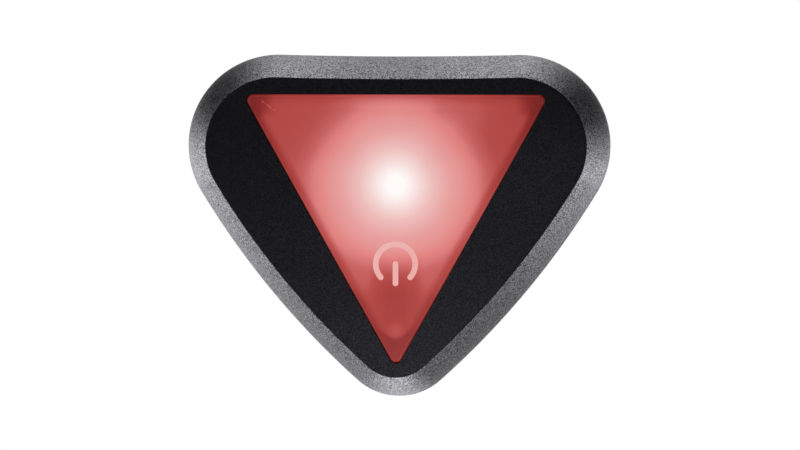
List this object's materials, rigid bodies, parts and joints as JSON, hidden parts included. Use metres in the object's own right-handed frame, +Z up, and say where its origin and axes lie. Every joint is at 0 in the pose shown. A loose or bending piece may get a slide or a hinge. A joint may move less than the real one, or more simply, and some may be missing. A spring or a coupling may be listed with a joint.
{
  "type": "helmet light",
  "caption": "Rounded triangular plug-in rear light for a bicycle helmet, with a red push-button lens, a coin-cell drum behind it and two snap catches.",
  "frame": {"origin": "on the axis of the battery drum, in the plane of the seat that lies against the helmet", "axes": "+Z up as worn, +X to the right as seen from the front of the light, +Y along the battery drum into the helmet; the lens faces -Y"},
  "size_m": [0.0422, 0.0135, 0.0341],
  "materials": {
    "shell_grey": "satin metallic grey with a fine speckle",
    "soft_black": "soft-touch, matte",
    "lens_red": "frosted translucent red, lit from behind",
    "symbol_pale": "pale inlay",
    "reflector_white": "bright white",
    "board_green": "solder mask over fibreglass",
    "led_white": "moulded lamp package",
    "dome_clear": "clear moulded dome",
    "switch_black": "moulded",
    "tin": "tinned",
    "chip_black": "moulded epoxy",
    "capacitor_tan": "ceramic",
    "contact_steel": "plated spring steel",
    "cell_steel": "brushed with a bright rim",
    "housing_black": "fine moulded texture",
    "cover_black": "fine moulded texture",
    "seal_rubber": "silicone",
    "screw_steel": "zinc plated",
    "foam_grey": "closed-cell foam"
  },
  "bodies": {
    "casing": {"front_shell": "shell_grey", "front_cover": "soft_black", "reflector": "reflector_white", "circuit_board": "board_green", "led_package": "led_white", "led_dome": "dome_clear", "switch_body": "switch_black", "switch_frame": "tin", "controller_chip": "chip_black", "chip_legs": "tin", "resistors": "chip_black", "capacitors": "capacitor_tan", "negative_contact": "contact_steel", "positive_contact": "contact_steel", "coin_cell": "cell_steel", "cell_gasket": "switch_black", "cell_cap": "cell_steel", "rear_housing": "housing_black", "shell_gasket": "seal_rubber", "case_screws": "screw_steel"},
    "lens": {"lens": "lens_red", "power_symbol": "symbol_pale"},
    "stem": {"switch_stem": "switch_black"},
    "cover": {"battery_cover": "cover_black", "cover_seal": "seal_rubber", "cell_cushion": "foam_grey"},
    "catch_left": {"snap_arm_left": "housing_black"},
    "catch_right": {"snap_arm_right": "housing_black"}
  },
  "joints": [
    {"name": "lens_press", "type": "hinge", "parent": "casing", "child": "lens", "pos_m": [0, -0.0046, 0.0099], "axis": [1, 0, 0], "range_deg": [0, 1], "stiffness_Nm_per_rad": 2},
    {"name": "stem_travel", "type": "slide", "parent": "casing", "child": "stem", "axis": [0, 1, 0], "range_m": [0, 0.00032]},
    {"name": "cover_turn", "type": "hinge", "parent": "casing", "child": "cover", "pos_m": [0, 0.0045, 0], "axis": [0, 1, 0], "range_deg": [0, 45]},
    {"name": "catch_left_flex", "type": "hinge", "parent": "casing", "child": "catch_left", "pos_m": [-0.01435, 0.00015, 0.002], "axis": [0, 0, -1], "range_deg": [0, 11], "stiffness_Nm_per_rad": 0.09},
    {"name": "catch_right_flex", "type": "hinge", "parent": "casing", "child": "catch_right", "pos_m": [0.01435, 0.00015, 0.002], "axis": [0, 0, 1], "range_deg": [0, 11], "stiffness_Nm_per_rad": 0.09}
  ],
  "couplings": [
    {"joint": "stem_travel", "follows": "lens_press", "m_per_rad": 0.0178}
  ]
}
